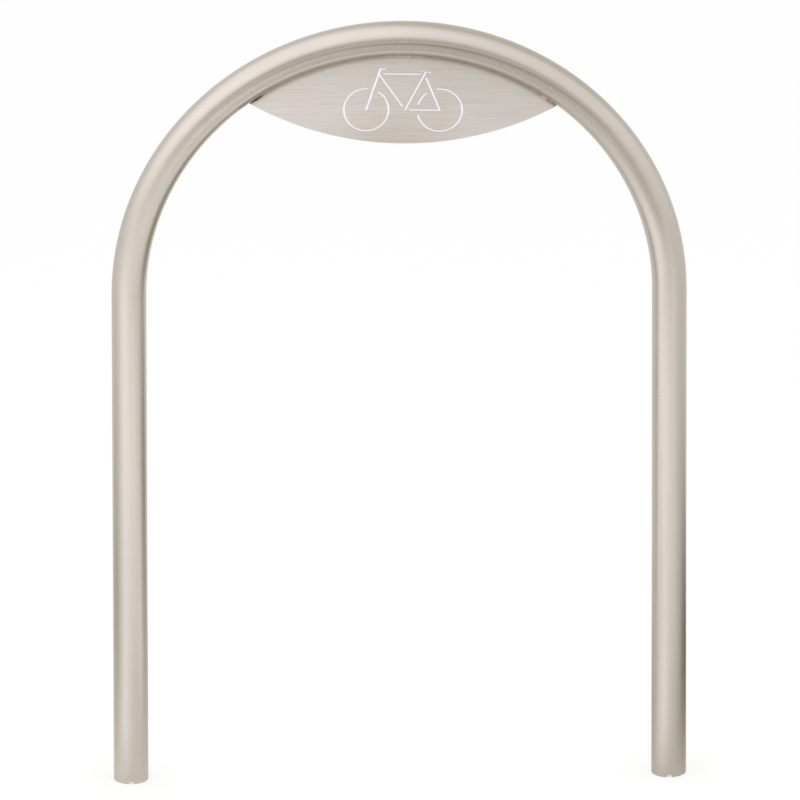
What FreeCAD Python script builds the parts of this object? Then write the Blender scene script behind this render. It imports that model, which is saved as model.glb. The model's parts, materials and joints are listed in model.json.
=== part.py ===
import FreeCAD, Part
import math
import os
import Sketcher

# Hoop bike rack: one bent tube whose two legs are set in the ground, and a lens-shaped plate
# welded under its crown, with a bicycle cut through it as a stencil.
# Millimetres, +Z up. The origin lies midway between the feet, on the plane of the tube's ends.

# Driving dimensions, in millimetres and degrees
SIZES = {
    # The bent tube
    "leg_spacing": 750,         # between the centre lines of the legs, and twice the bend's radius
    "leg_length": 720,          # straight part of each leg, from its end to the bend
    "tube_diameter": 48.3,
    "tube_wall": 2.6,
    "anchor_hole": 8,           # cross hole in each leg for a bar that grips the concrete
    "anchor_height": 80,        # from the tube's end to the cross hole
    "drain_notch": 8,           # half-round notches at the tube's ends
    # The plate under the crown
    "plate_thickness": 2,
    "plate_length": 425,        # from tip to tip
    "plate_depth": 131,         # from the tube to the lowest point, at mid length
    "tip_height": 2,            # the blunt ends
    "plate_turn": 1.2,          # how far round the bend the plate sits from the crown
    "seat_gap": 0.2,            # fit-up gap between the plate and the tube
    # The weld beads
    "weld_leg": 2.5,
    "crown_weld": 54,
    "tip_weld": 22,
    "tip_margin": 2,            # from a plate's blunt end to its weld
    # The bicycle cut through the plate
    "axle_rise": 49,            # from the plate's lowest point to the line of the wheel axles
    "wheel_base": 102,
    "wheel_radius": 31,         # to the middle of the cut
    "frame_rise": 53,           # from the axles to the top tube
    "fork_run": 16.5,           # from the front axle back to the head of the frame
    "stay_run": 22,             # from the rear axle forward to the saddle joint
    "chain_run": 48.2,          # from the rear axle forward to the bottom bracket
    "bar_rise": 60,             # from the axles to the handlebar
    "bar_length": 7,
    "saddle_rise": 57,          # from the axles to the saddle
    "saddle_length": 15.5,
    "saddle_drop": 1.5,         # from the saddle's nose to its tail, and again to the tail's hook
    "saddle_overhang": 6.5,     # from the seat tube back to the saddle's tail
    "cut_width": 2.2,
    "fork_width": 2.6,
    "saddle_width": 1.5,
    "joint_trim": 6.3,          # from a joint of the frame to the end of a cut that stops short of it
    "ring_trim": 7.3,           # along a wheel, from a crossing cut to the end of the wheel's cut
}

# Sizes worked out from the driving ones, measured from the centre of the bend
BEND_RADIUS = "Sizes.leg_spacing / 2"
LEGS = (BEND_RADIUS, "-" + BEND_RADIUS)
TUBE_RADIUS = "Sizes.tube_diameter / 2"
BORE_RADIUS = "Sizes.tube_diameter / 2 - Sizes.tube_wall"
UNDERSIDE = "(Sizes.leg_spacing - Sizes.tube_diameter) / 2"
PLATE_RADIUS = UNDERSIDE + " - Sizes.seat_gap"
PLATE_BOTTOM = UNDERSIDE + " - Sizes.plate_depth"
AXLES = PLATE_BOTTOM + " + Sizes.axle_rise"
PLATE_TURN = "Sizes.plate_turn * 1 deg"
HALF_TURN = 180                 # degrees
TIP_ANGLE = "asin(Sizes.plate_length / 2 / (%s))" % PLATE_RADIUS

# Joints of the bicycle's frame, as (across, up) from the centre of the bend
FRONT_AXLE = ("-Sizes.wheel_base / 2", AXLES)
REAR_AXLE = ("Sizes.wheel_base / 2", AXLES)
BRACKET = ("Sizes.wheel_base / 2 - Sizes.chain_run", AXLES)
HEAD = ("Sizes.fork_run - Sizes.wheel_base / 2", AXLES + " + Sizes.frame_rise")
SEAT_JOINT = ("Sizes.wheel_base / 2 - Sizes.stay_run", AXLES + " + Sizes.frame_rise")

NORMAL = FreeCAD.Vector(0, 0, 1)    # of a sketch, in its own frame

# How a sketch numbers its own axes, and the points of an edge
X_AXIS = -1
Y_AXIS = -2
START = 1
END = 2
CENTRE = 3
ORIGIN = (X_AXIS, START)

doc = FreeCAD.newDocument("hoop_bike_rack")
sheet = doc.addObject("Spreadsheet::Sheet", "Sizes")
for row, (size_name, size) in enumerate(SIZES.items(), start=1):
    sheet.set("A%d" % row, size_name)
    sheet.set("B%d" % row, str(size))
    sheet.setAlias("B%d" % row, size_name)
doc.recompute()


def number(expression):
    """The value that an expression on the sheet has now."""
    found = sheet.evalExpression(expression)
    return float(getattr(found, "Value", found))


def vector(across, up):
    return FreeCAD.Vector(number(across), number(up), 0)


def new_body(name):
    """A sub-part, with its frame at the centre of the bend."""
    body = doc.addObject("PartDesign::Body", name)
    body.Label = name
    body.Placement.Base = FreeCAD.Vector(0, 0, number("Sizes.leg_length"))
    body.setExpression("Placement.Base.z", "Sizes.leg_length")
    return body


def turn_body(body, angle):
    """Turn a sub-part round the bend, towards the right leg."""
    body.Placement.Rotation = FreeCAD.Rotation(FreeCAD.Vector(0, 1, 0), number(angle))
    body.setExpression("Placement.Rotation.Angle", angle)


def new_sketch(body, name, plane):
    sketch = body.newObject("Sketcher::SketchObject", name)
    sides = [side for side in body.Origin.OriginFeatures if side.Role == plane]
    sketch.AttachmentSupport = [(sides[0], "")]
    sketch.MapMode = "FlatFace"
    return sketch


def bind(sketch, *constraint, to):
    """Add a constraint with a size, bound to an expression on the sheet."""
    index = sketch.addConstraint(Sketcher.Constraint(*constraint, number(to)))
    sketch.setExpression("Constraints[%d]" % index, to)


def fix_point(sketch, geometry, point, across, up):
    bind(sketch, "DistanceX", *ORIGIN, geometry, point, to=across)
    bind(sketch, "DistanceY", *ORIGIN, geometry, point, to=up)


def join(sketch, first, first_point, second, second_point):
    sketch.addConstraint(Sketcher.Constraint("Coincident", first, first_point, second, second_point))


def add_circle(sketch, radius, across=None, up=None):
    """A circle with its centre bound to the sheet, or kept on the axis where a place isn't given."""
    middle = vector(across or "0", up or "0")
    circle = sketch.addGeometry(Part.Circle(middle, NORMAL, number(radius)), False)
    for distance, place, axis in (("DistanceX", across, Y_AXIS), ("DistanceY", up, X_AXIS)):
        if place:
            bind(sketch, distance, *ORIGIN, circle, CENTRE, to=place)
        else:
            sketch.addConstraint(Sketcher.Constraint("PointOnObject", circle, CENTRE, axis))
    bind(sketch, "Radius", circle, to=radius)


def add_tube_section(sketch, across):
    """The tube's wall seen end on, about a point on the sketch's own X axis."""
    add_circle(sketch, TUBE_RADIUS, across=across)
    add_circle(sketch, BORE_RADIUS, across=across)


def add_arc(sketch, middle, radius, start, end):
    """An arc that runs anticlockwise between two angles in radians."""
    circle = Part.Circle(middle, NORMAL, radius)
    return sketch.addGeometry(Part.ArcOfCircle(circle, start, end), False)


def check_feature(feature):
    """Recompute, and stop if the feature failed."""
    doc.recompute()
    if "Invalid" in feature.State or "Error" in feature.State or feature.Shape.isNull():
        raise RuntimeError("feature %s failed: %s" % (feature.Name, feature.State))


def cut_through(body, sketch):
    """Cut a sketch through the whole body, both ways from its plane."""
    before = body.Shape.Volume
    pocket = body.newObject("PartDesign::Pocket", sketch.Name + "_cut")
    pocket.Profile = sketch
    pocket.Type = "ThroughAll"
    pocket.SideType = "Symmetric"
    check_feature(pocket)
    if pocket.Shape.Volume >= before:
        raise RuntimeError("%s removed nothing" % pocket.Name)


def hoop_tube():
    """The bent tube: half a turn of tube section round the bend, and a leg down from each end."""
    body = new_body("hoop_tube")

    section = new_sketch(body, "bend_section", "XY_Plane")
    add_tube_section(section, BEND_RADIUS)
    bend = body.newObject("PartDesign::Revolution", "bend")
    bend.Profile = section
    bend.ReferenceAxis = (section, ["V_Axis"])
    bend.Angle = HALF_TURN
    bend.Reversed = True
    check_feature(bend)

    leg_sections = new_sketch(body, "leg_sections", "XY_Plane")
    for side in LEGS:
        add_tube_section(leg_sections, side)
    legs = body.newObject("PartDesign::Pad", "legs")
    legs.Profile = leg_sections
    legs.Reversed = True
    legs.setExpression("Length", "Sizes.leg_length")
    check_feature(legs)

    anchors = new_sketch(body, "anchor_holes", "YZ_Plane")
    add_circle(anchors, "Sizes.anchor_hole / 2", up="Sizes.anchor_height - Sizes.leg_length")
    cut_through(body, anchors)

    notches = new_sketch(body, "drain_notches", "XZ_Plane")
    for side in LEGS:
        add_circle(notches, "Sizes.drain_notch / 2", across=side, up="-Sizes.leg_length")
    cut_through(body, notches)
    return body


def plate_outline(body):
    """A lens: the tube's curve above, a flatter arc below, and a short blunt end at each tip."""
    outline = new_sketch(body, "outline", "XZ_Plane")
    half = number("Sizes.plate_length / 2")
    top_radius = number(PLATE_RADIUS)
    bottom = number(PLATE_BOTTOM)
    shoulder = math.sqrt(top_radius ** 2 - half ** 2)
    tip = shoulder - number("Sizes.tip_height")
    sagitta = tip - bottom
    low_radius = (half ** 2 + sagitta ** 2) / (2 * sagitta)
    low_middle = FreeCAD.Vector(0, bottom + low_radius, 0)
    low_angle = math.asin(half / low_radius)
    top_angle = math.asin(half / top_radius)
    upright = math.pi / 2

    top = add_arc(outline, FreeCAD.Vector(0, 0, 0), top_radius, upright - top_angle, upright + top_angle)
    low = add_arc(outline, low_middle, low_radius, -upright - low_angle, -upright + low_angle)
    left = outline.addGeometry(Part.LineSegment(FreeCAD.Vector(-half, shoulder, 0),
                                                FreeCAD.Vector(-half, tip, 0)), False)
    right = outline.addGeometry(Part.LineSegment(FreeCAD.Vector(half, tip, 0),
                                                 FreeCAD.Vector(half, shoulder, 0)), False)
    lowest = outline.addGeometry(Part.Point(FreeCAD.Vector(0, bottom, 0)), True)

    join(outline, top, CENTRE, *ORIGIN)
    join(outline, top, END, left, START)
    join(outline, left, END, low, START)
    join(outline, low, END, right, START)
    join(outline, right, END, top, START)
    outline.addConstraint(Sketcher.Constraint("Vertical", left))
    outline.addConstraint(Sketcher.Constraint("Vertical", right))
    outline.addConstraint(Sketcher.Constraint("PointOnObject", low, CENTRE, Y_AXIS))
    outline.addConstraint(Sketcher.Constraint("PointOnObject", lowest, START, Y_AXIS))
    outline.addConstraint(Sketcher.Constraint("PointOnObject", lowest, START, low))
    bind(outline, "DistanceY", *ORIGIN, lowest, START, to=PLATE_BOTTOM)
    bind(outline, "Radius", top, to=PLATE_RADIUS)
    bind(outline, "DistanceX", *ORIGIN, right, END, to="Sizes.plate_length / 2")
    bind(outline, "DistanceX", *ORIGIN, left, START, to="-Sizes.plate_length / 2")
    bind(outline, "DistanceY", right, START, right, END, to="Sizes.tip_height")
    return outline


def cut_stroke(body, name, start, end, width="Sizes.cut_width", start_trim=None, end_trim=None):
    """A straight cut with round ends between two points, each end held back by its trim."""
    sketch = new_sketch(body, name, "XZ_Plane")
    first = vector(*start)
    last = vector(*end)
    along = (last - first).normalize()
    across = FreeCAD.Vector(-along.y, along.x, 0)
    half = number(width) / 2
    near = first + along * (number(start_trim) if start_trim else 0)
    far = last - along * (number(end_trim) if end_trim else 0)
    heading = math.atan2(along.y, along.x)
    quarter = math.pi / 2

    guide = sketch.addGeometry(Part.LineSegment(first, last), True)
    one_side = sketch.addGeometry(Part.LineSegment(near - across * half, far - across * half), False)
    far_end = add_arc(sketch, far, half, heading - quarter, heading + quarter)
    other_side = sketch.addGeometry(Part.LineSegment(far + across * half, near + across * half), False)
    near_end = add_arc(sketch, near, half, heading + quarter, heading + 3 * quarter)

    fix_point(sketch, guide, START, *start)
    fix_point(sketch, guide, END, *end)
    for first_edge, first_point, second_edge, second_point in (
            (one_side, END, far_end, START), (far_end, END, other_side, START),
            (other_side, END, near_end, START), (near_end, END, one_side, START)):
        sketch.addConstraint(Sketcher.Constraint("Tangent", first_edge, first_point,
                                                 second_edge, second_point))
    for cap, cap_trim, guide_end in ((near_end, start_trim, START), (far_end, end_trim, END)):
        if cap_trim:
            sketch.addConstraint(Sketcher.Constraint("PointOnObject", cap, CENTRE, guide))
            bind(sketch, "Distance", guide, guide_end, cap, CENTRE, to=cap_trim)
        else:
            join(sketch, cap, CENTRE, guide, guide_end)
    sketch.addConstraint(Sketcher.Constraint("Equal", near_end, far_end))
    bind(sketch, "Radius", near_end, to=width + " / 2")
    cut_through(body, sketch)


def cut_ring(body, name, axle, from_angle, to_angle):
    """A round cut with square ends: an arc of a wheel, anticlockwise between two angles."""
    sketch = new_sketch(body, name, "XZ_Plane")
    middle = vector(*axle)
    outer_radius = "Sizes.wheel_radius + Sizes.cut_width / 2"
    inner_radius = "Sizes.wheel_radius - Sizes.cut_width / 2"
    start = math.radians(number(from_angle))
    end = math.radians(number(to_angle))
    outer = add_arc(sketch, middle, number(outer_radius), start, end)
    inner = add_arc(sketch, middle, number(inner_radius), start, end)
    fix_point(sketch, outer, CENTRE, *axle)
    join(sketch, inner, CENTRE, outer, CENTRE)
    bind(sketch, "Radius", outer, to=outer_radius)
    bind(sketch, "Radius", inner, to=inner_radius)
    for arc_end, turn, angle in ((START, start, from_angle), (END, end, to_angle)):
        way = FreeCAD.Vector(math.cos(turn), math.sin(turn), 0)
        side = sketch.addGeometry(Part.LineSegment(middle + way * number(inner_radius),
                                                   middle + way * number(outer_radius)), False)
        join(sketch, side, START, inner, arc_end)
        join(sketch, side, END, outer, arc_end)
        sketch.addConstraint(Sketcher.Constraint("PointOnObject", outer, CENTRE, side))
        bind(sketch, "Angle", side, to=angle)
    cut_through(body, sketch)


def cut_bicycle(body):
    """The bicycle, as cuts that stop short of each other, so that no piece of the plate falls out."""
    bar = (HEAD[0] + " + (Sizes.bar_rise - Sizes.frame_rise) * Sizes.fork_run / Sizes.frame_rise",
           AXLES + " + Sizes.bar_rise")
    bar_end = (bar[0] + " + Sizes.bar_length", bar[1])
    cut_stroke(body, "fork", FRONT_AXLE, bar, width="Sizes.fork_width")
    cut_stroke(body, "handlebar", bar, bar_end)
    cut_stroke(body, "down_tube", HEAD, BRACKET, end_trim="Sizes.joint_trim")
    cut_stroke(body, "top_tube", HEAD, SEAT_JOINT,
               start_trim="Sizes.joint_trim", end_trim="Sizes.joint_trim")
    cut_stroke(body, "seat_stay", SEAT_JOINT, REAR_AXLE, start_trim="Sizes.joint_trim")
    cut_stroke(body, "chain_stay", BRACKET, REAR_AXLE, start_trim="Sizes.joint_trim")

    seat_tube_lean = "(Sizes.chain_run - Sizes.stay_run) / Sizes.frame_rise"
    saddle_middle = "%s - Sizes.chain_run + (Sizes.saddle_rise - Sizes.saddle_drop / 2) * %s" % (
        REAR_AXLE[0], seat_tube_lean)
    saddle_tail = (saddle_middle + " + Sizes.saddle_overhang",
                   AXLES + " + Sizes.saddle_rise - Sizes.saddle_drop")
    saddle_nose = (saddle_tail[0] + " - Sizes.saddle_length", AXLES + " + Sizes.saddle_rise")
    saddle_hook = (saddle_tail[0] + " - Sizes.saddle_drop / 2", saddle_tail[1] + " - Sizes.saddle_drop")
    saddle_seat = (saddle_middle, AXLES + " + Sizes.saddle_rise - Sizes.saddle_drop / 2")
    cut_stroke(body, "seat_tube", BRACKET, saddle_seat)
    cut_stroke(body, "saddle", saddle_nose, saddle_tail, width="Sizes.saddle_width")
    cut_stroke(body, "saddle_hook", saddle_tail, saddle_hook, width="Sizes.saddle_width")

    ring_trim = "Sizes.ring_trim / Sizes.wheel_radius * 1 rad"
    fork_angle = "atan(Sizes.frame_rise / Sizes.fork_run)"
    stay_angle = "180 deg - atan(Sizes.frame_rise / Sizes.stay_run)"
    cut_ring(body, "front_wheel", FRONT_AXLE,
             "%s + %s" % (fork_angle, ring_trim), "360 deg + %s - %s" % (fork_angle, ring_trim))
    cut_ring(body, "rear_wheel", REAR_AXLE,
             "180 deg + %s" % ring_trim, "360 deg + %s - %s" % (stay_angle, ring_trim))
    cut_ring(body, "rear_wheel_behind_stays", REAR_AXLE,
             "%s + %s" % (stay_angle, ring_trim), "180 deg - %s" % ring_trim)


def infill_plate():
    """The lens-shaped plate that fills the top of the bend."""
    body = new_body("infill_plate")
    turn_body(body, PLATE_TURN)
    plate = body.newObject("PartDesign::Pad", "plate")
    plate.Profile = plate_outline(body)
    plate.SideType = "Symmetric"
    plate.setExpression("Length", "Sizes.plate_thickness")
    check_feature(plate)
    cut_bicycle(body)
    return body


def weld_bead(name, side, length, place):
    """A fillet weld in the corner of plate and tube, on one face of the plate, swept along the bend."""
    body = new_body(name)
    turn_body(body, place)
    face = "%s Sizes.plate_thickness / 2" % side
    sign = math.copysign(1, number(face))
    tube = number(TUBE_RADIUS)
    bend = number(BEND_RADIUS)
    leg = number("Sizes.weld_leg")
    corner_angle = math.asin(number("Sizes.plate_thickness / 2") / tube)
    toe_angle = corner_angle + 2 * math.asin(leg / 2 / tube)
    seat_middle = FreeCAD.Vector(0, bend, 0)
    corner = seat_middle + FreeCAD.Vector(sign * math.sin(corner_angle), -math.cos(corner_angle), 0) * tube
    toe = seat_middle + FreeCAD.Vector(sign * math.sin(toe_angle), -math.cos(toe_angle), 0) * tube
    foot = corner - FreeCAD.Vector(0, leg, 0)
    down = -math.pi / 2
    turns = sorted((down + sign * corner_angle, down + sign * toe_angle))
    corner_end, toe_end = (START, END) if sign > 0 else (END, START)

    sketch = new_sketch(body, name + "_section", "YZ_Plane")
    root = sketch.addGeometry(Part.LineSegment(foot, corner), False)
    seat = add_arc(sketch, seat_middle, tube, *turns)
    skin = sketch.addGeometry(Part.LineSegment(toe, foot), False)
    join(sketch, root, END, seat, corner_end)
    join(sketch, seat, toe_end, skin, START)
    join(sketch, skin, END, root, START)
    sketch.addConstraint(Sketcher.Constraint("Vertical", root))
    sketch.addConstraint(Sketcher.Constraint("PointOnObject", seat, CENTRE, Y_AXIS))
    bind(sketch, "DistanceY", *ORIGIN, seat, CENTRE, to=BEND_RADIUS)
    bind(sketch, "Radius", seat, to=TUBE_RADIUS)
    bind(sketch, "DistanceX", *ORIGIN, root, END, to=face)
    bind(sketch, "DistanceY", root, START, root, END, to="Sizes.weld_leg")
    bind(sketch, "Distance", seat, corner_end, seat, toe_end, to="Sizes.weld_leg")

    bead = body.newObject("PartDesign::Revolution", name + "_bead")
    bead.Profile = sketch
    bead.ReferenceAxis = (sketch, ["H_Axis"])
    bead.Midplane = True
    bead.setExpression("Angle", "%s / (%s) * 1 rad" % (length, UNDERSIDE))
    check_feature(bead)
    return body


def weld_beads():
    """One short weld at the crown and one at each tip, on both faces of the plate."""
    reach = "(Sizes.tip_margin + Sizes.tip_weld / 2) / (%s) * 1 rad" % UNDERSIDE
    beads = []
    for face_name, side in (("front", "-"), ("rear", "")):
        beads.append(weld_bead("crown_weld_" + face_name, side, "Sizes.crown_weld", PLATE_TURN))
        beads.append(weld_bead("left_tip_weld_" + face_name, side, "Sizes.tip_weld",
                               "%s - %s + %s" % (PLATE_TURN, TIP_ANGLE, reach)))
        beads.append(weld_bead("right_tip_weld_" + face_name, side, "Sizes.tip_weld",
                               "%s + %s - %s" % (PLATE_TURN, TIP_ANGLE, reach)))
    return beads


subparts = [hoop_tube(), infill_plate()] + weld_beads()
doc.recompute()

for item in doc.Objects:
    if "Invalid" in item.State or "Error" in item.State:
        raise RuntimeError("%s failed: %s" % (item.Name, item.State))
for subpart in subparts:
    if subpart.Shape.isNull() or not subpart.Shape.isValid():
        raise RuntimeError("%s has no valid shape" % subpart.Label)

os.makedirs("parts", exist_ok=True)
for subpart in subparts:
    subpart.Shape.exportStep("parts/%s.step" % subpart.Label)
    box = subpart.Shape.optimalBoundingBox(False, False)
    print("%s: %d solid, volume %.1f, x %.1f to %.1f, y %.1f to %.1f, z %.1f to %.1f" % (
        subpart.Label, len(subpart.Shape.Solids), subpart.Shape.Volume,
        box.XMin, box.XMax, box.YMin, box.YMax, box.ZMin, box.ZMax))
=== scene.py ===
import json
import math
import random

import bpy
from mathutils import Matrix, Vector


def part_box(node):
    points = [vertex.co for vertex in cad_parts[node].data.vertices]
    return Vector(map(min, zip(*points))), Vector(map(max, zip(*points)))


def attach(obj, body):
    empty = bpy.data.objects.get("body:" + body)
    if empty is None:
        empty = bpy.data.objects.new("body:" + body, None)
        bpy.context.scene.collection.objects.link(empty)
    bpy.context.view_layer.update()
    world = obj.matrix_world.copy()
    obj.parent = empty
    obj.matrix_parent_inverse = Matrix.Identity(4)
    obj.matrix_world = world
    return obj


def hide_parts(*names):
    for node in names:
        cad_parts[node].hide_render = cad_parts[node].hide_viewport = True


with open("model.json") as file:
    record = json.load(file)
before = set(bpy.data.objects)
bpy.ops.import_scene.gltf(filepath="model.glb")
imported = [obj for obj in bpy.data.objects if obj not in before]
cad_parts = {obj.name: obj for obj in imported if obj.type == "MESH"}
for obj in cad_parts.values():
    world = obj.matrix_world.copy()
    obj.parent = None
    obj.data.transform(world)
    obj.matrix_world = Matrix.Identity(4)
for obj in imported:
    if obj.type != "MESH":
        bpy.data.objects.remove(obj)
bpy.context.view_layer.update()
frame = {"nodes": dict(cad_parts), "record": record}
mounts = {mount["name"]: mount for mount in frame["record"]["mounts"]}
MM = 0.001

# The bent tube, in metres, as the frame has it
TUBE_RADIUS = mounts["right_root"]["dims"]["r_mm"] * MM
LEG_LENGTH = mounts["right_root"]["dims"]["length_mm"] * MM
BEND_RADIUS = mounts["right_root"]["pos_m"][0]
ANCHOR_RADIUS = mounts["anchor_holes"]["dims"]["r_mm"] * MM
ANCHOR_HEIGHT = mounts["anchor_holes"]["pos_m"][2]
TUBE_WALL = 2.6 * MM
NOTCH_RADIUS = 4 * MM
EDGE_ROUND = 0.6 * MM           # the deburred edges of the tube's ends and holes
TUBE_SIDES = 96
BEND_STEPS = 160
CUTTER_SIDES = 48

# The plate and the welds, in metres
PLATE_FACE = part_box("infill_plate")[1].y
CUT_ROUND = 0.15 * MM           # the softened edges of the plate's cuts
UNDERSIDE = BEND_RADIUS - TUBE_RADIUS
CROWN_WELD = 54 * MM
TIP_WELD = 22 * MM
DROP_PITCH = 1.0 * MM           # from one ripple of a weld bead to the next
DROP_SIZE = Vector((1.2, 4.2, 1.7)) * MM        # along the bead, across it, and out of the corner
DROP_LIFT = 0.3 * MM            # of a drop's middle out of the corner
LIFT_SPREAD = (0.8, 1.25)       # least and most of that, from drop to drop
SIZE_SPREAD = (0.94, 1.06)
DROP_SIDES = 24
WELD_GRAIN = 0.16 * MM          # of the mesh that melts the drops together

# The heat marks at the plate's tips, in metres
HEAT_INSET = 1.2 * MM           # of a mark's middle below the tube's underside
HEAT_DEPTH = 12 * MM            # of a mark through the plate
HEAT_WANDER = 0.25              # of a mark's outline, in parts of its reach
MARK_RANGE = (0.4, 0.8)         # parts of its reach over which a mark ends
# Each mark: weld, share brushed off, shift towards the tip, reach along the tube, reach off it
HEAT_MARKS = (
    # the left mark is heat tint and painted shade of the gap between tube and plate
    ("left_tip_weld_front", 0.0, 1.5 * MM, 15 * MM, 3.8 * MM),
    ("right_tip_weld_front", 1.0, 4 * MM, 11 * MM, 3.6 * MM))
# The color of a mark at parts of its reach, where oxide was left, dark with painted shade of the gap, and
# where it was brushed off
OXIDE_AND_GAP_SHADE_TINTS = ((0.38, (0.24, 0.19, 0.12)), (0.6, (0.47, 0.41, 0.31)), (0.8, (0.78, 0.74, 0.65)),
               (1.0, (1, 1, 1)))
BRUSHED_TINTS = ((0.36, (0.97, 0.94, 0.88)), (0.48, (0.5, 0.42, 0.34)), (0.56, (0.66, 0.58, 0.48)),
                 (0.68, (0.96, 0.92, 0.84)), (1.0, (1, 1, 1)))

# The duller places and the painted shade, in metres. A pair says where one starts and where it is full
TUBE_CORNER_SHADE = (-13.5 * MM, -18.5 * MM)          # painted shade on the tube by the plate, out from the tube's middle line
TUBE_CORNER_SHADE_FADE = 6 * MM       # along the tube, to each side of the plate's tips
TUBE_CORNER_SHADE_SHARE = 0.85         # the share of the painted shade
PLATE_CORNER_SHADE = (9 * MM, 1 * MM)                 # painted shade on the plate, below the tube's underside
LOW_SHADE_PLACE = (-0.01, 0, 0.93)    # painted shade, darker low on the plate, below the bicycle
LOW_SHADE_REACH = (0.16, 1, 0.07)
LOW_SHADE_SHARE = 0.5
DULL_AND_SHADE_ROUGHNESS = 0.12           # added where the finish is dull and where shade is painted
MARK_ROUGHNESS = 0.18           # added in the heat marks
SCRATCH_ROUGHNESS = 0.03        # added and taken away by the scratches
WIPED_ROUGHNESS = (-0.015, 0.02)                # added by the wiped patches, least and most
NOISE_RANGE = (0.3, 0.7)        # that holds most of a noise

# The welds' metal
WELD_COLORS = ((0.55, 0.50, 0.44), (0.80, 0.75, 0.68))
WELD_ROUGHNESS = (0.34, 0.6)    # away from the heat marks, and in them
FLECK_COLOR = (0.12, 0.10, 0.07)
FLECK_RANGE = (0.56, 0.64)      # of a noise, from no fleck to all fleck

# The camera's place, turn and lens, fitted to the photograph, in metres and degrees
CAMERA_TARGET = Vector((0.0009, 0, 0.5591))
CAMERA_DISTANCE = 46.234
CAMERA_AZIMUTH = -1.753
CAMERA_ELEVATION = 20.947
CAMERA_ROLL = -0.092
CAMERA_LENS = 1498.1            # millimetres
CAMERA_SENSOR = 36              # millimetres
CAMERA_NEAR = 1                 # the nearest and the farthest that it shows
CAMERA_FAR = 200

# Light levels, where 1 is white, and the place of the light, in metres
ROOM_LIGHT = 0.85
CEILING_LIGHT = 0.35
CEILING_SIZE = (3.4, 4.8)
CEILING_PLACE = (0, -1.65, 2.6)
FLOOR_SHADE = 0.42              # the floor's own color, on which the shadow falls
FLOOR_GLOW = 0.62               # that the floor adds where it is seen
FLOOR_SIZE = 120

# What the metal mirrors of the floor, in metres: its level, and soft patches with middle, reach and shade
FLOOR_LEVEL = 0.8
SPOT_SHIFT = 0.175              # of the bright spot before a leg, to the leg's left
FLOOR_PATCHES = (
    # bright floor in front, more of it to the left, and a bright spot before each leg
    ((-0.5, -1.55), (3.0, 1.45), 0.85),
    ((-2.5, -1.0), (2.0, 2.5), 0.3),
    ((-BEND_RADIUS - SPOT_SHIFT, -0.25), (0.35, 0.35), 0.4),
    ((BEND_RADIUS - SPOT_SHIFT, -0.25), (0.35, 0.35), 0.4),
    # dark floor beside the right leg, beside the left one, under the arch, and far in front
    ((0.9, 0.3), (0.9, 0.9), -0.7),
    ((-1.3, 0.2), (0.9, 0.9), -0.4),
    ((0.0, 0.3), (0.6, 0.5), -0.2),
    ((0.3, -8.0), (2.5, 7.0), -0.35))

# What it mirrors of the sky, in degrees: its level, and soft patches with azimuth and elevation of the
# middle, the angle that is full, the angle that fades, and shade
SKY_LEVEL = 0.85
SKY_PATCHES = (
    # the big soft light high on the left, and a weaker one on the right
    (-60, 50, 20, 50, 0.45),
    (60, 30, 20, 40, 0.15),
    # a weak light low on the left, and dim places behind the camera and behind the rack
    (-60, 0, 20, 30, 0.12),
    (0, 0, 10, 25, -0.35),
    (150, 35, 20, 30, -0.15))

# Dark films before the bend, in metres: name, middle, turn in degrees, reach, which is 0 through the film,
# and the share of light that its middle takes away
FILMS = (
    ("crown_film", (0.1, -0.4, 0.95), (0, 0, 0), (0.5, 0.45, 0), 0.5),
    ("front_film", (0.1, -0.5, 0.7), (-90, 0, 0), (0.7, 0, 0.3), 0.45),
    ("low_film", (0.1, -0.2, 0.8), (0, 0, 0), (0.5, 0.2, 0), 0.35))

# The color of what the metal mirrors
DARK_TINT = (1.08, 1.0, 0.82)   # of dark surroundings
DARK_LEVEL = 0.36               # up to which they have all of that tint
FILM_TINT = (1.04, 1.0, 0.9)    # of what comes through a film's middle
LEAST_LEVEL = 0.05              # of any surroundings


# Modelling helpers


def deselect():
    if bpy.context.mode != "OBJECT":
        bpy.ops.object.mode_set(mode="OBJECT")
    bpy.ops.object.select_all(action="DESELECT")


def select(piece):
    deselect()
    piece.select_set(True)
    bpy.context.view_layer.objects.active = piece


def apply_place(piece):
    """Put a piece's place and turn into its mesh."""
    select(piece)
    bpy.ops.object.transform_apply(location=True, rotation=True, scale=True)


def add_modifier(piece, kind, **settings):
    modifier = piece.modifiers.new(kind.lower(), kind)
    for name, value in settings.items():
        setattr(modifier, name, value)


def apply_modifiers(piece):
    select(piece)
    for modifier in list(piece.modifiers):
        bpy.ops.object.modifier_apply(modifier=modifier.name)


def cut_away(piece, cutters):
    """Take the cutters out of a piece, and delete them."""
    for cutter in cutters:
        add_modifier(piece, "BOOLEAN", operation="DIFFERENCE", solver="EXACT", object=cutter)
    apply_modifiers(piece)
    for cutter in cutters:
        bpy.data.objects.remove(cutter)


def round_edges(piece, width, sharp=50, smooth=35):
    """Shade smooth what bends less than one angle in degrees, and round what bends more than another."""
    select(piece)
    bpy.ops.mesh.customdata_custom_splitnormals_clear()
    bpy.ops.object.shade_smooth_by_angle(angle=math.radians(smooth))
    add_modifier(piece, "BEVEL", width=width, segments=2, limit_method="ANGLE",
                 angle_limit=math.radians(sharp), harden_normals=True)
    apply_modifiers(piece)


def rod(radius, length, place, turn):
    """A cutter for a drilled hole."""
    deselect()
    bpy.ops.mesh.primitive_cylinder_add(vertices=CUTTER_SIDES, radius=radius, depth=length,
                                        location=place, rotation=turn)
    return bpy.context.object


def write_map(piece, name, place_of):
    """A UV map whose U and V a function gives for each corner of each face."""
    layer = piece.data.uv_layers.new(name=name)
    for face in piece.data.polygons:
        for loop in face.loop_indices:
            layer.data[loop].uv = place_of(face, piece.data.loops[loop].vertex_index)


# The pieces


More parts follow.
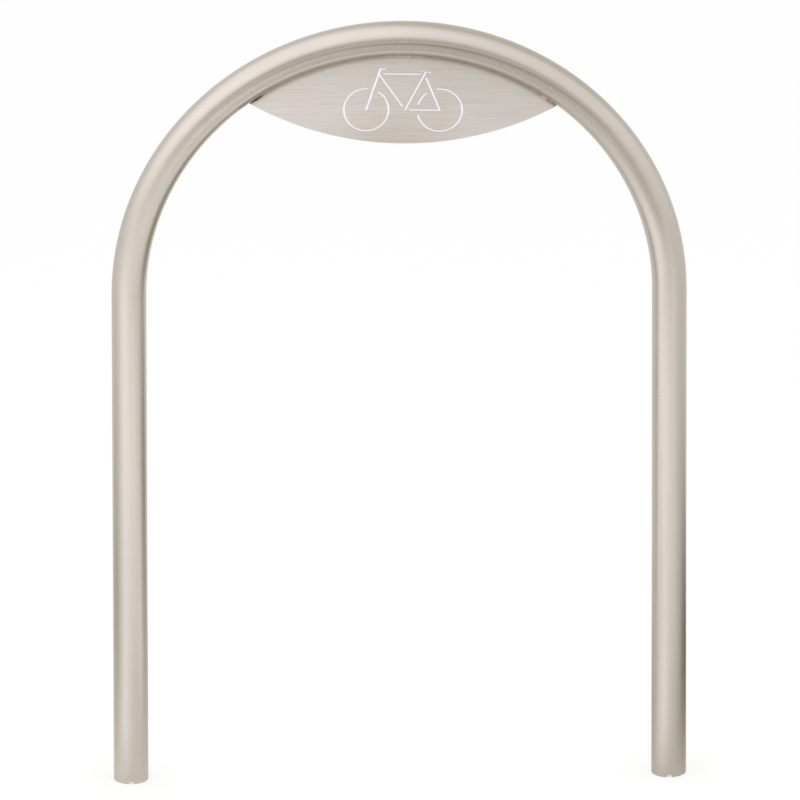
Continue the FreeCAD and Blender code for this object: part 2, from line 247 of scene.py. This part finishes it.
def straightened(point):
    """Where a point of the bent tube lies on the tube before bending: across, across and along."""
    above = point.z - LEG_LENGTH
    if above > 0:
        out = math.hypot(point.x, above) - BEND_RADIUS
        along = LEG_LENGTH + BEND_RADIUS * math.atan2(above, point.x)
    elif point.x > 0:
        out = point.x - BEND_RADIUS
        along = point.z
    else:
        out = -point.x - BEND_RADIUS
        along = LEG_LENGTH + BEND_RADIUS * math.pi - above
    return Vector((out, point.y, along))


def bent_tube():
    """The hoop: a ring drawn up the right leg, spun round the bend, and drawn down the left leg."""
    deselect()
    bpy.ops.mesh.primitive_circle_add(vertices=TUBE_SIDES, radius=TUBE_RADIUS,
                                      location=(BEND_RADIUS, 0, 0))
    tube = bpy.context.object
    tube.name = "bent_tube"
    apply_place(tube)
    rings = (0, 2 * NOTCH_RADIUS, ANCHOR_HEIGHT - 2 * ANCHOR_RADIUS, ANCHOR_HEIGHT + 2 * ANCHOR_RADIUS,
             LEG_LENGTH)
    climbs = [high - low for low, high in zip(rings, rings[1:])]
    bpy.ops.object.mode_set(mode="EDIT")
    bpy.ops.mesh.select_all(action="SELECT")
    for climb in climbs:
        bpy.ops.mesh.extrude_edges_move(TRANSFORM_OT_translate={"value": (0, 0, climb)})
    bpy.ops.mesh.spin(steps=BEND_STEPS, angle=math.pi, center=(0, 0, LEG_LENGTH), axis=(0, 1, 0))
    for climb in reversed(climbs):
        bpy.ops.mesh.extrude_edges_move(TRANSFORM_OT_translate={"value": (0, 0, -climb)})
    bpy.ops.mesh.select_all(action="SELECT")
    bpy.ops.mesh.remove_doubles(threshold=0.01 * MM)
    bpy.ops.mesh.normals_make_consistent(inside=False)
    bpy.ops.object.mode_set(mode="OBJECT")
    outermost = max(tube.data.polygons, key=lambda face: face.center.x)
    if outermost.normal.x < 0:
        bpy.ops.object.mode_set(mode="EDIT")
        bpy.ops.mesh.flip_normals()
        bpy.ops.object.mode_set(mode="OBJECT")
    add_modifier(tube, "SOLIDIFY", thickness=TUBE_WALL, offset=-1)
    apply_modifiers(tube)

    span = 2 * (BEND_RADIUS + 2 * TUBE_RADIUS)
    cutters = [rod(ANCHOR_RADIUS, span, (0, 0, ANCHOR_HEIGHT), (0, math.pi / 2, 0))]
    for side in (-BEND_RADIUS, BEND_RADIUS):
        cutters.append(rod(NOTCH_RADIUS, 4 * TUBE_RADIUS, (side, 0, 0), (math.pi / 2, 0, 0)))
    cut_away(tube, cutters)
    round_edges(tube, EDGE_ROUND)

    straight = tube.data.attributes.new("straightened", "FLOAT_VECTOR", "POINT")
    places = [straightened(vertex.co) for vertex in tube.data.vertices]
    turns = [math.atan2(place.y, place.x) for place in places]
    for number, place in enumerate(places):
        straight.data[number].vector = place

    def along_and_round(face, vertex):
        first = turns[face.vertices[0]]
        turn = first + math.remainder(turns[vertex] - first, 2 * math.pi)
        return places[vertex].z, turn * TUBE_RADIUS

    write_map(tube, "wrap", along_and_round)
    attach(tube, "root")
    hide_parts("hoop_tube")
    return tube


def lens_plate():
    """The plate, with its outline and cuts as the frame has them, and softened edges."""
    node = frame["nodes"]["infill_plate"]
    plate = bpy.data.objects.new("lens_plate", node.data.copy())
    bpy.context.scene.collection.objects.link(plate)
    plate.data.materials.clear()
    select(plate)
    bpy.ops.object.mode_set(mode="EDIT")
    bpy.ops.mesh.select_all(action="SELECT")
    bpy.ops.mesh.remove_doubles(threshold=0.002 * MM)
    bpy.ops.mesh.dissolve_limited(angle_limit=math.radians(0.5))
    bpy.ops.object.mode_set(mode="OBJECT")
    round_edges(plate, CUT_ROUND)

    def up_and_across(face, vertex):
        place = plate.data.vertices[vertex].co
        return place.z + place.y / 2, place.x + place.y / 2

    write_map(plate, "grain", up_and_across)
    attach(plate, "root")
    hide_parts("infill_plate")
    return plate


def weld_bead(node_name, length, seed):
    """A run of overlapping drops in the corner of plate and tube, melted into one bead."""
    draw = random.Random(seed)
    low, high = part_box(node_name)
    middle = (low + high) / 2
    side = math.copysign(1, middle.y)
    centre_turn = math.atan2(middle.x, middle.z - LEG_LENGTH)
    corner_radius = BEND_RADIUS - math.sqrt(TUBE_RADIUS ** 2 - PLATE_FACE ** 2)
    count = round(length / DROP_PITCH)
    drops = []
    for number in range(count):
        turn = centre_turn + ((number + 0.5) / count - 0.5) * (length - DROP_PITCH) / UNDERSIDE
        outward = Vector((math.sin(turn), 0, math.cos(turn)))
        along = Vector((math.cos(turn), 0, -math.sin(turn)))
        face_out = Vector((0, side, 0))
        rise = (face_out - outward).normalized()
        across = rise.cross(along)
        lift = DROP_LIFT * draw.uniform(*LIFT_SPREAD)
        place = Vector((0, side * PLATE_FACE, LEG_LENGTH)) + outward * corner_radius + rise * lift
        turned = Matrix((along, across, rise)).transposed().to_euler()
        size = DROP_SIZE * draw.uniform(*SIZE_SPREAD)
        deselect()
        bpy.ops.mesh.primitive_uv_sphere_add(segments=DROP_SIDES, ring_count=DROP_SIDES // 2, radius=1,
                                             location=place, rotation=turned, scale=size)
        drops.append(bpy.context.object)
    deselect()
    for drop in drops:
        drop.select_set(True)
    bpy.context.view_layer.objects.active = drops[0]
    bpy.ops.object.join()
    bead = bpy.context.object
    bead.name = node_name + "_bead"
    apply_place(bead)
    add_modifier(bead, "REMESH", mode="VOXEL", voxel_size=WELD_GRAIN)
    add_modifier(bead, "SMOOTH", factor=0.5, iterations=2)
    apply_modifiers(bead)
    select(bead)
    bpy.ops.object.shade_smooth()
    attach(bead, "root")
    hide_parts(node_name)
    return bead


# Node helpers


def add_node(tree, kind, inputs=None, **settings):
    """A node with its settings, and its inputs set to a value or joined to a socket."""
    node = tree.nodes.new("ShaderNode" + kind)
    for name, value in settings.items():
        setattr(node, name, value)
    fill_inputs(tree, node, inputs or {})
    return node


def add_group(tree, group, inputs):
    node = tree.nodes.new("ShaderNodeGroup")
    node.node_tree = group
    fill_inputs(tree, node, inputs)
    return node


def fill_inputs(tree, node, inputs):
    for name, value in inputs.items():
        if isinstance(value, bpy.types.NodeSocket):
            tree.links.new(value, node.inputs[name])
        else:
            node.inputs[name].default_value = value


def blend_colors(tree, factor, first, second, blend_type="MIX"):
    """The color between two, or a color changed by another."""
    node = tree.nodes.new("ShaderNodeMix")
    node.data_type = "RGBA"
    node.blend_type = blend_type
    color_sockets = {"Factor": node.inputs[0], "A": node.inputs[6], "B": node.inputs[7]}
    for name, value in (("Factor", factor), ("A", first), ("B", second)):
        socket = color_sockets[name]
        if isinstance(value, bpy.types.NodeSocket):
            tree.links.new(value, socket)
        else:
            socket.default_value = value
    return node.outputs[2]


def color_ramp(tree, factor, stops):
    """Colors along a factor, each stop with its position and color."""
    ramp = add_node(tree, "ValToRGB", {"Fac": factor})
    elements = ramp.color_ramp.elements
    for element, (position, shade) in zip(elements, (stops[0], stops[-1])):
        element.position = position
        element.color = color(*shade)
    for position, shade in stops[1:-1]:
        elements.new(position).color = color(*shade)
    return ramp.outputs["Color"]


def calculate(tree, operation, *values):
    """The result of one operation on numbers and sockets."""
    return add_node(tree, "Math", dict(enumerate(values)), operation=operation).outputs[0]


def length_of(tree, vector):
    return add_node(tree, "VectorMath", {0: vector}, operation="LENGTH").outputs["Value"]


def spread(tree, value, low=0.0, high=1.0, first=0.0, last=1.0):
    """A value between two limits, spread evenly from a first value to a last one."""
    return add_node(tree, "MapRange", {"Value": value, "From Min": low, "From Max": high,
                                       "To Min": first, "To Max": last}).outputs[0]


def soft_step(tree, value, nothing, full):
    """A mask that rises smoothly from 0 at one value to 1 at another."""
    return add_node(tree, "MapRange", {"Value": value, "From Min": nothing, "From Max": full},
                    interpolation_type="SMOOTHSTEP").outputs[0]


def new_material(name):
    material = bpy.data.materials.new(name)
    material.use_nodes = True
    tree = material.node_tree
    shader = next(node for node in tree.nodes if node.type == "BSDF_PRINCIPLED")
    return material, tree, shader


def new_group(name, inputs, outputs):
    """A shader node group with named sockets, and its first and last node."""
    group = bpy.data.node_groups.new(name, "ShaderNodeTree")
    for socket_name, kind in inputs:
        group.interface.new_socket(socket_name, in_out="INPUT", socket_type="NodeSocket" + kind)
    for socket_name, kind in outputs:
        group.interface.new_socket(socket_name, in_out="OUTPUT", socket_type="NodeSocket" + kind)
    return group, group.nodes.new("NodeGroupInput"), group.nodes.new("NodeGroupOutput")


def color(red, green, blue):
    return red, green, blue, 1


# Effects that the metals share


NOISE_INPUTS = (("Vector", "Vector"), ("Stretch", "Vector"), ("Scale", "Float"))


def stretched_noise(group, start, look):
    """Noise at a group's Scale, on its Vector times its Stretch."""
    drawn = add_node(group, "VectorMath", {0: start.outputs["Vector"], 1: start.outputs["Stretch"]},
                     operation="MULTIPLY")
    noise = add_node(group, "TexNoise", {"Vector": drawn.outputs[0], "Scale": start.outputs["Scale"],
                                         **look})
    return noise.outputs["Fac"]


def grinding_group():
    """Fine parallel scratches left by a belt. The stretch is small along them and 1 across them."""
    group, start, end = new_group("grinding", NOISE_INPUTS, (("Lines", "Float"),))
    lines = stretched_noise(group, start, {"Detail": 5.0, "Roughness": 0.65})
    group.links.new(lines, end.inputs["Lines"])
    return group


def handling_group():
    """Soft cloudy patches where the metal was wiped and gripped."""
    group, start, end = new_group("handling", NOISE_INPUTS, (("Clouds", "Float"),))
    clouds = stretched_noise(group, start, {"Detail": 3.0, "Roughness": 0.55, "Distortion": 0.4})
    group.links.new(spread(group, clouds, *NOISE_RANGE), end.inputs["Clouds"])
    return group


def heat_group():
    """The marks that welding leaves: dark oxide, which holds painted shade of the gap by the tube, or a
    thin brown line where it was brushed off.
    """
    group, start, end = new_group(
        "heat", (("Vector", "Vector"), ("Place", "Vector"), ("Turn", "Vector"), ("Reach", "Vector"),
                 ("Brushed", "Float")), (("Tint", "Color"), ("Mark", "Float")))
    place = start.outputs["Vector"]
    local = add_node(group, "Mapping", {"Vector": place, "Location": start.outputs["Place"],
                                        "Rotation": start.outputs["Turn"],
                                        "Scale": start.outputs["Reach"]}, vector_type="TEXTURE")
    wander = add_node(group, "TexNoise", {"Vector": place, "Scale": 420.0, "Detail": 2.0})
    shift = spread(group, wander.outputs["Fac"], first=-HEAT_WANDER, last=HEAT_WANDER)
    away = calculate(group, "ADD", length_of(group, local.outputs[0]), shift)
    tint = blend_colors(group, start.outputs["Brushed"], color_ramp(group, away, OXIDE_AND_GAP_SHADE_TINTS),
                        color_ramp(group, away, BRUSHED_TINTS))
    group.links.new(tint, end.inputs["Tint"])
    group.links.new(spread(group, away, *MARK_RANGE, 1.0, 0.0), end.inputs["Mark"])
    return group


grinding = grinding_group()
handling = handling_group()
heat = heat_group()


# The metals


def object_place(tree):
    return add_node(tree, "TexCoord").outputs["Object"]


def straightened_place(tree):
    straight = add_node(tree, "Attribute", attribute_name="straightened", attribute_type="GEOMETRY")
    return straight.outputs["Vector"]


def weld_heat(tree, base):
    """A color tinted by the heat marks at the plate's tips, and a mask of the marks."""
    place = object_place(tree)
    marked = None
    for node_name, brushed, shift, along, off in HEAT_MARKS:
        low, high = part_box(node_name)
        middle = (low + high) / 2
        turn = math.atan2(middle.x, middle.z - LEG_LENGTH)
        turn += math.copysign(shift / UNDERSIDE, turn)
        spot = Vector((math.sin(turn), 0, math.cos(turn))) * (UNDERSIDE - HEAT_INSET)
        marks = add_group(tree, heat, {"Vector": place, "Place": spot + Vector((0, 0, LEG_LENGTH)),
                                       "Turn": (0, turn, 0), "Reach": (along, HEAT_DEPTH, off),
                                       "Brushed": brushed})
        base = blend_colors(tree, 1.0, base, marks.outputs["Tint"], "MULTIPLY")
        if marked:
            marked = calculate(tree, "MAXIMUM", marked, marks.outputs["Mark"])
        else:
            marked = marks.outputs["Mark"]
    return base, marked


def unground_and_shaded_tube(tree, place):
    """Where the tube isn't ground, its bore and sawn ends, and painted shade in part of the corner by the
    plate.
    """
    parts = add_node(tree, "SeparateXYZ", {0: place})
    across = add_node(tree, "CombineXYZ", {"X": parts.outputs["X"], "Y": parts.outputs["Y"]})
    radius = length_of(tree, across.outputs[0])
    half_length = LEG_LENGTH + BEND_RADIUS * math.pi / 2
    along = calculate(tree, "SUBTRACT", parts.outputs["Z"], half_length)
    from_crown = calculate(tree, "ABSOLUTE", along)
    plate_reach = BEND_RADIUS * math.asin(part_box("infill_plate")[1].x / UNDERSIDE)
    bore = soft_step(tree, radius, TUBE_RADIUS - 0.3 * TUBE_WALL, TUBE_RADIUS - 0.5 * TUBE_WALL)
    sawn = soft_step(tree, from_crown, half_length - 0.2 * MM, half_length - 0.05 * MM)
    # Painted shade on the tube in the corner by the plate
    under_shade = soft_step(tree, parts.outputs["X"], *TUBE_CORNER_SHADE)
    by_plate = soft_step(tree, from_crown, plate_reach + TUBE_CORNER_SHADE_FADE, plate_reach - TUBE_CORNER_SHADE_FADE)
    shaded_corner = calculate(tree, "MULTIPLY", under_shade, by_plate)
    corner_shade = calculate(tree, "MULTIPLY", shaded_corner, TUBE_CORNER_SHADE_SHARE)
    return calculate(tree, "MAXIMUM", calculate(tree, "MAXIMUM", bore, sawn), corner_shade)


def unbrushed_and_shaded_plate(tree, place):
    """Where the plate isn't brushed, on its cuts' walls, and painted shade by the tube and in part below
    the bicycle.
    """
    from_centre = add_node(tree, "VectorMath", {0: place, 1: (0, 0, LEG_LENGTH)}, operation="DISTANCE")
    # Painted shade on the plate in the corner by the tube
    shaded_corner = soft_step(tree, from_centre.outputs["Value"], *[UNDERSIDE - below for below in PLATE_CORNER_SHADE])
    parts = add_node(tree, "SeparateXYZ", {0: place})
    from_middle = calculate(tree, "ABSOLUTE", parts.outputs["Y"])
    cut_wall = soft_step(tree, from_middle, PLATE_FACE - 0.3 * CUT_ROUND, PLATE_FACE - CUT_ROUND)
    # Painted shade, darker low on the plate below the bicycle
    local = add_node(tree, "Mapping", {"Vector": place, "Location": LOW_SHADE_PLACE, "Scale": LOW_SHADE_REACH},
                     vector_type="TEXTURE")
    low = soft_step(tree, length_of(tree, local.outputs[0]), 1.0, 0.0)
    low_shade = calculate(tree, "MULTIPLY", low, LOW_SHADE_SHARE)
    return calculate(tree, "MAXIMUM", calculate(tree, "MAXIMUM", shaded_corner, cut_wall), low_shade)


def satin_steel(name, place_for, light, dark, roughness, stretch, scale, marks, anisotropy, uv_map,
                dull_and_shade_for, dull_and_shade_color):
    """Satin stainless steel: scratches one way, wiped patches, duller places, painted shade in the corners
    and low on the plate, and heat marks.
    """
    material, tree, shader = new_material(name)
    place = place_for(tree)
    scratches = add_group(tree, grinding, {"Vector": place, "Stretch": stretch, "Scale": scale})
    lines = scratches.outputs["Lines"]
    patches = add_group(tree, handling, {"Vector": place, "Stretch": (1, 1, 0.35), "Scale": 26.0})
    clouds = patches.outputs["Clouds"]
    dull_and_shaded = dull_and_shade_for(tree, place)

    base = blend_colors(tree, clouds, dark, light)
    scratch_shade = spread(tree, lines, *NOISE_RANGE, 1 - marks, 1 + marks)
    base = blend_colors(tree, 1.0, base, scratch_shade, "MULTIPLY")
    # Dull finish of bore, ends and cut walls, and painted shade in the corners and low on the plate
    dull_and_shade_tint = blend_colors(tree, dull_and_shaded, color(1, 1, 1), dull_and_shade_color)
    base = blend_colors(tree, 1.0, base, dull_and_shade_tint, "MULTIPLY")
    base, marked = weld_heat(tree, base)
    tree.links.new(base, shader.inputs["Base Color"])

    rough = spread(tree, lines, *NOISE_RANGE, roughness - SCRATCH_ROUGHNESS,
                   roughness + SCRATCH_ROUGHNESS)
    wiped = spread(tree, clouds, 0.0, 1.0, *WIPED_ROUGHNESS)
    rough = calculate(tree, "ADD", rough, wiped)
    rough = calculate(tree, "MULTIPLY_ADD", dull_and_shaded, DULL_AND_SHADE_ROUGHNESS, rough)
    rough = calculate(tree, "MULTIPLY_ADD", marked, MARK_ROUGHNESS, rough)
    tree.links.new(rough, shader.inputs["Roughness"])

    bump = add_node(tree, "Bump", {"Height": lines, "Strength": 0.15, "Distance": 0.01 * MM})
    tree.links.new(bump.outputs[0], shader.inputs["Normal"])
    tangent = add_node(tree, "Tangent", direction_type="UV_MAP", uv_map=uv_map)
    tree.links.new(tangent.outputs[0], shader.inputs["Tangent"])
    shader.inputs["Metallic"].default_value = 1.0
    shader.inputs["Anisotropic"].default_value = anisotropy
    return material


def weld_metal():
    """Brushed-off weld metal: darker and rougher than the steel, with brown oxide left in flecks."""
    material, tree, shader = new_material("weld_metal")
    place = object_place(tree)
    patches = add_group(tree, handling, {"Vector": place, "Stretch": (1, 1, 1), "Scale": 300.0})
    base = blend_colors(tree, patches.outputs["Clouds"], *[color(*shade) for shade in WELD_COLORS])
    flecks = add_node(tree, "TexNoise", {"Vector": place, "Scale": 520.0, "Detail": 2.0})
    fleck = spread(tree, flecks.outputs["Fac"], *FLECK_RANGE)
    base = blend_colors(tree, fleck, base, color(*FLECK_COLOR))
    base, marked = weld_heat(tree, base)
    tree.links.new(base, shader.inputs["Base Color"])
    tree.links.new(spread(tree, marked, 0.0, 1.0, *WELD_ROUGHNESS), shader.inputs["Roughness"])
    shader.inputs["Metallic"].default_value = 1.0
    return material


# The studio


def soft_patch_group():
    """One soft round patch added to a level: full at its middle, nothing beyond its reach."""
    group, start, end = new_group(
        "soft_patch", (("Vector", "Vector"), ("Place", "Vector"), ("Reach", "Vector"), ("Shade", "Float"),
                       ("Level", "Float")), (("Level", "Float"),))
    off = add_node(group, "VectorMath", {0: start.outputs["Vector"], 1: start.outputs["Place"]},
                   operation="SUBTRACT")
    part = add_node(group, "VectorMath", {0: off.outputs[0], 1: start.outputs["Reach"]},
                    operation="DIVIDE")
    mask = soft_step(group, length_of(group, part.outputs[0]), 1.0, 0.0)
    level = calculate(group, "MULTIPLY_ADD", mask, start.outputs["Shade"], start.outputs["Level"])
    group.links.new(level, end.inputs["Level"])
    return group


def sky_patch_group():
    """One soft patch of sky added to a level: full up to one angle off its middle, nothing past another."""
    group, start, end = new_group(
        "sky_patch", (("Vector", "Vector"), ("Aim", "Vector"), ("Full", "Float"), ("Nothing", "Float"),
                      ("Shade", "Float"), ("Level", "Float")), (("Level", "Float"),))
    along = add_node(group, "VectorMath", {0: start.outputs["Vector"], 1: start.outputs["Aim"]},
                     operation="DOT_PRODUCT")
    angle = calculate(group, "ARCCOSINE", along.outputs["Value"])
    mask = soft_step(group, angle, start.outputs["Nothing"], start.outputs["Full"])
    level = calculate(group, "MULTIPLY_ADD", mask, start.outputs["Shade"], start.outputs["Level"])
    group.links.new(level, end.inputs["Level"])
    return group


soft_patch = soft_patch_group()
sky_patch = sky_patch_group()


def dark_film(name, middle, turn, reach, share):
    """A film that only the metal mirrors, clear at its rim and from behind, and darkest at its middle."""
    deselect()
    turn = [math.radians(angle) for angle in turn]
    bpy.ops.mesh.primitive_plane_add(size=2, location=middle, rotation=turn)
    film = bpy.context.object
    film.name = name
    film.scale = [length for length in reach if length > 0] + [1]
    apply_place(film)
    material = bpy.data.materials.new(name)
    material.use_nodes = True
    tree = material.node_tree
    tree.nodes.clear()
    shape = [length or 1 for length in reach]
    level = add_group(tree, soft_patch, {"Vector": object_place(tree), "Place": middle, "Reach": shape,
                                         "Shade": -share, "Level": 1.0})
    behind = add_node(tree, "NewGeometry").outputs["Backfacing"]
    passed = calculate(tree, "MAXIMUM", level.outputs["Level"], behind)
    hue = blend_colors(tree, passed, color(*FILM_TINT), color(1, 1, 1))
    clear = add_node(tree, "BsdfTransparent", {"Color": blend_colors(tree, 1.0, hue, passed, "MULTIPLY")})
    add_node(tree, "OutputMaterial", {"Surface": clear.outputs[0]})
    film.data.materials.append(material)
    film.visible_camera = False
    film.visible_diffuse = False
    film.visible_shadow = False
    film.visible_transmission = False


def warm_shade(tree, level):
    """The color of the surroundings at a level: white where they are bright, warm where they are dark."""
    bright = spread(tree, level, DARK_LEVEL, 1.0)
    return blend_colors(tree, bright, color(*DARK_TINT), color(1, 1, 1))


def surroundings(tree, level):
    """The surroundings at a level, which never go quite dark."""
    lit = calculate(tree, "MAXIMUM", level, LEAST_LEVEL)
    return add_node(tree, "Emission", {"Color": warm_shade(tree, lit), "Strength": lit}).outputs[0]


def ray_masks(tree):
    """Where a surface is seen by the camera, itself or through glass, and where it is mirrored."""
    rays = add_node(tree, "LightPath")
    seen = calculate(tree, "MAXIMUM", rays.outputs["Is Camera Ray"], rays.outputs["Is Transmission Ray"])
    return seen, rays.outputs["Is Glossy Ray"]


def pale_floor():
    """A white floor that keeps the rack's shadow. The metal mirrors it with bright and dark patches."""
    deselect()
    bpy.ops.mesh.primitive_plane_add(size=FLOOR_SIZE)
    floor = bpy.context.object
    floor.name = "floor"
    material, tree, shader = new_material("pale_floor")
    shader.inputs["Base Color"].default_value = color(*[FLOOR_SHADE] * 3)
    shader.inputs["Roughness"].default_value = 0.9
    shader.inputs["Specular IOR Level"].default_value = 0.0
    seen, mirrored = ray_masks(tree)
    shader.inputs["Emission Color"].default_value = color(1, 1, 1)
    tree.links.new(calculate(tree, "MULTIPLY", seen, FLOOR_GLOW), shader.inputs["Emission Strength"])
    place = object_place(tree)
    level = FLOOR_LEVEL
    for middle, reach, shade in FLOOR_PATCHES:
        patch = add_group(tree, soft_patch, {"Vector": place, "Place": (*middle, 0), "Reach": (*reach, 1),
                                             "Shade": shade, "Level": level})
        level = patch.outputs["Level"]
    look = add_node(tree, "MixShader", {0: mirrored, 1: shader.outputs[0], 2: surroundings(tree, level)})
    below = add_node(tree, "NewGeometry").outputs["Backfacing"]
    clear = add_node(tree, "BsdfTransparent").outputs[0]
    one_sided = add_node(tree, "MixShader", {0: below, 1: look.outputs[0], 2: clear})
    surface = next(node for node in tree.nodes if node.type == "OUTPUT_MATERIAL")
    tree.links.new(one_sided.outputs[0], surface.inputs["Surface"])
    floor.data.materials.append(material)


def aim(azimuth, elevation):
    """The direction at an azimuth from the front, towards +X, and at an elevation, both in degrees."""
    azimuth = math.radians(azimuth)
    elevation = math.radians(elevation)
    return Vector((math.sin(azimuth) * math.cos(elevation), -math.cos(azimuth) * math.cos(elevation),
                   math.sin(elevation)))


def white_room():
    """The world: white where it is seen, plain in its light, and patchy where the metal mirrors it."""
    world = bpy.data.worlds.new("white_room")
    world.use_nodes = True
    tree = world.node_tree
    room = tree.nodes["Background"]
    seen, mirrored = ray_masks(tree)
    tree.links.new(spread(tree, seen, 0.0, 1.0, ROOM_LIGHT, 1.0), room.inputs["Strength"])
    room.inputs["Color"].default_value = color(1, 1, 1)
    way = add_node(tree, "TexCoord").outputs["Generated"]
    level = SKY_LEVEL
    for azimuth, elevation, full, fade, shade in SKY_PATCHES:
        patch = add_group(tree, sky_patch, {"Vector": way, "Aim": aim(azimuth, elevation),
                                            "Full": math.radians(full),
                                            "Nothing": math.radians(full + fade),
                                            "Shade": shade, "Level": level})
        level = patch.outputs["Level"]
    look = add_node(tree, "MixShader", {0: mirrored, 1: room.outputs[0], 2: surroundings(tree, level)})
    tree.links.new(look.outputs[0], tree.nodes["World Output"].inputs["Surface"])
    bpy.context.scene.world = world


def ceiling_light():
    """One large soft light overhead, for the shadow on the floor."""
    lamp = bpy.data.lights.new("ceiling", "AREA")
    lamp.shape = "RECTANGLE"
    lamp.size = CEILING_SIZE[0]
    lamp.size_y = CEILING_SIZE[1]
    lamp.energy = CEILING_LIGHT * math.pi * lamp.size * lamp.size_y
    light = bpy.data.objects.new("ceiling", lamp)
    light.location = CEILING_PLACE
    bpy.context.scene.collection.objects.link(light)
    light.visible_camera = False
    light.visible_glossy = False


def camera():
    lens = bpy.data.cameras.new("camera")
    lens.lens = CAMERA_LENS
    lens.sensor_width = CAMERA_SENSOR
    lens.clip_start = CAMERA_NEAR
    lens.clip_end = CAMERA_FAR
    eye = bpy.data.objects.new("camera", lens)
    back = aim(CAMERA_AZIMUTH, CAMERA_ELEVATION)
    turn = (-back).to_track_quat("-Z", "Y").to_matrix()
    roll = Matrix.Rotation(math.radians(CAMERA_ROLL), 3, "Z")
    eye.rotation_euler = (turn @ roll).to_euler()
    eye.location = CAMERA_TARGET + back * CAMERA_DISTANCE
    bpy.context.scene.collection.objects.link(eye)
    bpy.context.scene.camera = eye


# The rack in its studio

tube = bent_tube()
plate = lens_plate()
tube.data.materials.clear()
# The tube's dull color is its unground bore and ends, and painted shade in the corner by the plate
tube.data.materials.append(satin_steel(
    "satin_tube", straightened_place, light=color(0.662, 0.612, 0.561), dark=color(0.63, 0.582, 0.533),
    roughness=0.265, stretch=(1, 1, 0.008), scale=260.0, marks=0.02, anisotropy=0.86, uv_map="wrap",
    dull_and_shade_for=unground_and_shaded_tube, dull_and_shade_color=color(0.6, 0.58, 0.5)))
# The plate's dull color is its cut walls, and painted shade by the tube and low on the plate
plate.data.materials.append(satin_steel(
    "brushed_plate", object_place, light=color(0.98, 0.937, 0.915), dark=color(0.96, 0.905, 0.878),
    roughness=0.53, stretch=(0.03, 1, 1), scale=420.0, marks=0.06, anisotropy=0.8, uv_map="grain",
    dull_and_shade_for=unbrushed_and_shaded_plate, dull_and_shade_color=color(0.76, 0.73, 0.66)))
bead_metal = weld_metal()
weld_lengths = (("crown_weld", CROWN_WELD), ("left_tip_weld", TIP_WELD), ("right_tip_weld", TIP_WELD))
for number, face in enumerate(("front", "rear")):
    for weld_name, length in weld_lengths:
        bead = weld_bead("%s_%s" % (weld_name, face), length, seed=number * 3 + len(weld_name))
        bead.data.materials.clear()
        bead.data.materials.append(bead_metal)

pale_floor()
white_room()
ceiling_light()
for film in FILMS:
    dark_film(*film)
camera()
bpy.context.scene.view_settings.view_transform = "Standard"
